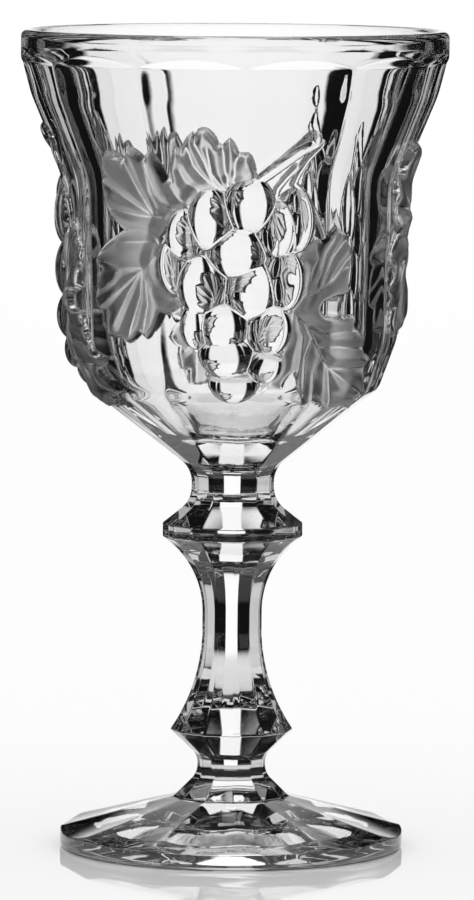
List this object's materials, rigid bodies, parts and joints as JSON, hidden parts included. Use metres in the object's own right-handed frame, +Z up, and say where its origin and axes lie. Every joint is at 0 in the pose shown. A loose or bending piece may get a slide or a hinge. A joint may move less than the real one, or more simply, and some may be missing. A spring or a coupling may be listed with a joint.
{
  "type": "water goblet",
  "caption": "Clear pressed-glass goblet with a panelled bowl, a faceted knopped stem, a fluted foot and grape-and-vine relief with satin leaves.",
  "frame": {"origin": "on the goblet's axis, at the plane that the foot stands on", "axes": "+Z up along the axis; -Y through the middle of the first relief, on a ridge between two panels"},
  "size_m": [0.0886, 0.0886, 0.17],
  "materials": {
    "clear_glass": "fire-polished, clear",
    "satin_glass": "satin, etched"
  },
  "bodies": {
    "root": {"bowl": "clear_glass", "stem": "clear_glass", "foot": "clear_glass", "grape_cluster_1": "clear_glass", "grape_cluster_2": "clear_glass", "grape_cluster_3": "clear_glass", "vine_twig_1": "clear_glass", "vine_twig_2": "clear_glass", "vine_twig_3": "clear_glass", "upper_leaf_1": "satin_glass", "upper_leaf_2": "satin_glass", "upper_leaf_3": "satin_glass", "lower_leaf_1": "satin_glass", "lower_leaf_2": "satin_glass", "lower_leaf_3": "satin_glass", "side_leaf_1": "satin_glass", "side_leaf_2": "satin_glass", "side_leaf_3": "satin_glass", "small_leaf_1": "satin_glass", "small_leaf_2": "satin_glass", "small_leaf_3": "satin_glass"}
  },
  "joints": []
}
